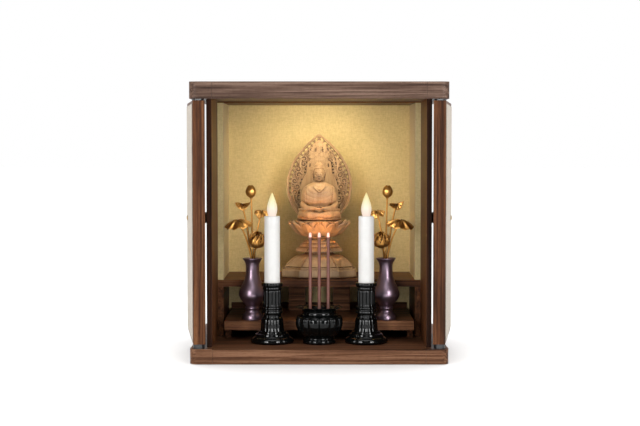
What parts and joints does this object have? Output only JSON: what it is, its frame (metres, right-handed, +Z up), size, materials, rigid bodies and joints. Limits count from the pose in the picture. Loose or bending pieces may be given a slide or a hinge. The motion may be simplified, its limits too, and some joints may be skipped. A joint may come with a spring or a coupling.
{
  "type": "household altar cabinet",
  "caption": "Small wooden household altar with folded-back doors, gold cloth lining, stepped shelves, a carved seated figure with halo, flower vases, candlesticks and an incense burner.",
  "frame": {"origin": "on the surface it stands on, under the middle of the case", "axes": "+Z up, front towards -Y, +X to the right of a viewer in front"},
  "size_m": [0.44, 0.33, 0.435],
  "materials": {
    "walnut": "semi-gloss walnut with fine straight grain",
    "walnut_end": "semi-gloss walnut corner block, greyer and streaked",
    "gold_cloth": "fine woven gold lining cloth, slightly shiny",
    "pale_cloth": "pale beige lining cloth",
    "black_fitting": "satin black",
    "brass": "aged brass",
    "black_glaze": "high gloss black glaze",
    "candle_white": "smooth white, like wax",
    "flame_warm": "translucent warm white bulb",
    "incense_red": "matt reddish brown",
    "vase_purple": "polished purple brown metal",
    "gilt": "antique gilt brass",
    "carved_wood": "pale carved wood, satin"
  },
  "bodies": {
    "cabinet": {"base_panel": "walnut", "top_panel": "walnut", "ceiling_board": "walnut", "back_panel": "walnut", "lower_tier_board": "walnut", "upper_tier_board": "walnut", "back_skirting": "walnut", "back_lining": "gold_cloth", "statue_pedestal": "carved_wood", "lotus_seat": "carved_wood", "buddha_figure": "carved_wood", "halo": "carved_wood", "incense_burner": "black_glaze", "incense_stick_left": "incense_red", "incense_stick_middle": "incense_red", "incense_stick_right": "incense_red", "base_corner_left": "walnut_end", "top_corner_left": "walnut_end", "side_wall_left": "walnut", "lower_tier_cleat_left": "walnut", "upper_tier_leg_left": "walnut", "upper_tier_support_left": "walnut", "side_lining_left": "gold_cloth", "door_pivot_bottom_left": "black_fitting", "door_pivot_top_left": "black_fitting", "candlestick_left": "black_glaze", "candle_left": "candle_white", "candle_flame_left": "flame_warm", "vase_left": "vase_purple", "lotus_bud_left": "gilt", "curled_leaf_left": "gilt", "broad_leaf_left": "gilt", "small_leaf_left": "gilt", "lotus_bloom_left": "gilt", "base_corner_right": "walnut_end", "top_corner_right": "walnut_end", "side_wall_right": "walnut", "lower_tier_cleat_right": "walnut", "upper_tier_leg_right": "walnut", "upper_tier_support_right": "walnut", "side_lining_right": "gold_cloth", "door_pivot_bottom_right": "black_fitting", "door_pivot_top_right": "black_fitting", "candlestick_right": "black_glaze", "candle_right": "candle_white", "candle_flame_right": "flame_warm", "vase_right": "vase_purple", "lotus_bud_right": "gilt", "curled_leaf_right": "gilt", "broad_leaf_right": "gilt", "small_leaf_right": "gilt", "lotus_bloom_right": "gilt"},
    "door_left": {"door_left": "walnut", "door_lining_left": "pale_cloth", "door_knob_left": "black_fitting", "knob_screw_left": "brass"},
    "door_right": {"door_right": "walnut", "door_lining_right": "pale_cloth", "door_knob_right": "black_fitting", "knob_screw_right": "brass"}
  },
  "joints": [
    {"name": "door_left_hinge", "type": "hinge", "parent": "cabinet", "child": "door_left", "pos_m": [-0.1865, -0.152, 0.21815], "axis": [0, 0, 1], "range_deg": [0, 262.5]},
    {"name": "door_right_hinge", "type": "hinge", "parent": "cabinet", "child": "door_right", "pos_m": [0.1865, -0.152, 0.21815], "axis": [0, 0, -1], "range_deg": [0, 262.5]}
  ]
}
